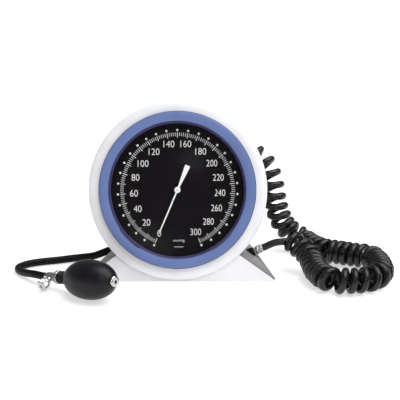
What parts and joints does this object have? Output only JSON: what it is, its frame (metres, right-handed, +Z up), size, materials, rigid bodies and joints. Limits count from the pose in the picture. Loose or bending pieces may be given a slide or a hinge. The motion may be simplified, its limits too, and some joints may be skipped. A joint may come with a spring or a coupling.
{
  "type": "desk aneroid sphygmomanometer",
  "caption": "Upper arm blood pressure gauge with a large round dial on a desk stand, inflation bulb with release valve, and coiled tube to a rolled cuff in a rear basket.",
  "frame": {"origin": "under the middle of the instrument, on the table, without its free hoses, bulb and coiled tube", "axes": "+Z up, -Y towards the reader (the dial leans back 15 degrees), +X to the reader's right"},
  "size_m": [0.4274, 0.2302, 0.1954],
  "materials": {
    "white_plastic": "satin",
    "blue_plastic": "satin",
    "grey_plastic": "satin",
    "dark_plastic": "matte",
    "glass": "polished",
    "dial_black": "matte",
    "pointer_paint": "satin",
    "black_rubber": "satin",
    "chrome": "polished",
    "steel": "brushed",
    "brass": "satin",
    "cuff_cloth": "woven"
  },
  "bodies": {
    "root": {"housing_shell": "white_plastic", "rear_cover": "white_plastic", "stand_front_panel": "white_plastic", "cuff_basket": "white_plastic", "connector_clip": "white_plastic", "bezel_ring": "blue_plastic", "stand_rear_shell": "grey_plastic", "base_plate": "dark_plastic", "lens": "glass", "dial_plate": "dial_black", "rubber_foot_1": "black_rubber", "rubber_foot_2": "black_rubber", "rubber_foot_3": "black_rubber", "rubber_foot_4": "black_rubber", "cuff_port_bush": "black_rubber", "bulb_port_bush": "black_rubber", "inner_tube_right": "black_rubber", "inner_tube_left": "black_rubber", "gauge_feed_tube": "black_rubber", "coil_lead_tube": "black_rubber", "coiled_tube": "black_rubber", "coil_tail_tube": "black_rubber", "cuff_tube": "black_rubber", "bulb_hose": "black_rubber", "bulb": "black_rubber", "tube_ferrule": "chrome", "tube_connector": "chrome", "air_intake": "chrome", "valve_collar": "chrome", "release_valve_body": "chrome", "valve_boss": "chrome", "dial_screw_left": "steel", "dial_screw_right": "steel", "cover_screw_1": "steel", "cover_screw_2": "steel", "cover_screw_3": "steel", "basket_screw_1": "steel", "basket_screw_2": "steel", "hairspring": "steel", "movement_front_plate": "brass", "movement_rear_plate": "brass", "movement_pillar_1": "brass", "movement_pillar_2": "brass", "movement_pillar_3": "brass", "movement_post_left": "brass", "movement_post_right": "brass", "capsule_lower": "brass", "manifold_block": "brass", "cuff_roll": "cuff_cloth"},
    "sector": {"sector_gear": "brass", "sector_arbor": "steel"},
    "pointer": {"pointer": "pointer_paint", "pointer_cap": "pointer_paint", "pointer_arbor": "steel", "pinion": "brass"},
    "capsule": {"capsule_upper": "brass", "capsule_pin": "steel"},
    "needle": {"valve_needle": "steel"},
    "knob": {"release_knob": "chrome"},
    "intake_valve": {"intake_disc": "black_rubber"}
  },
  "joints": [
    {"name": "capsule_lift", "type": "slide", "parent": "root", "child": "capsule", "axis": [0, -0.9659, 0.2588], "range_m": [0, 0.00159], "stiffness_N_per_m": 50},
    {"name": "sector_swing", "type": "hinge", "parent": "root", "child": "sector", "pos_m": [0, -0.0411, 0.05279], "axis": [0, -0.9659, 0.2588], "range_deg": [0, 31.35]},
    {"name": "pointer_spin", "type": "hinge", "parent": "root", "child": "pointer", "pos_m": [0, -0.0413, 0.0984], "axis": [0, 0.9659, -0.2588], "range_deg": [0, 313.5]},
    {"name": "needle_travel", "type": "slide", "parent": "root", "child": "needle", "axis": [-0.545, -0.7791, -0.3097], "range_m": [0, 0.00176]},
    {"name": "knob_turn", "type": "hinge", "parent": "needle", "child": "knob", "pos_m": [-0.14447, -0.10018, 0.00868], "axis": [-0.545, -0.7791, -0.3097], "range_deg": [0, 720]},
    {"name": "intake_lift", "type": "slide", "parent": "root", "child": "intake_valve", "axis": [-0.7805, 0.6064, -0.1521], "range_m": [0, 0.0012]}
  ],
  "couplings": [
    {"joint": "sector_swing", "follows": "capsule_lift", "rad_per_m": 344.83},
    {"joint": "pointer_spin", "follows": "capsule_lift", "rad_per_m": 3448.3},
    {"joint": "knob_turn", "follows": "needle_travel", "rad_per_m": 7142.9}
  ]
}
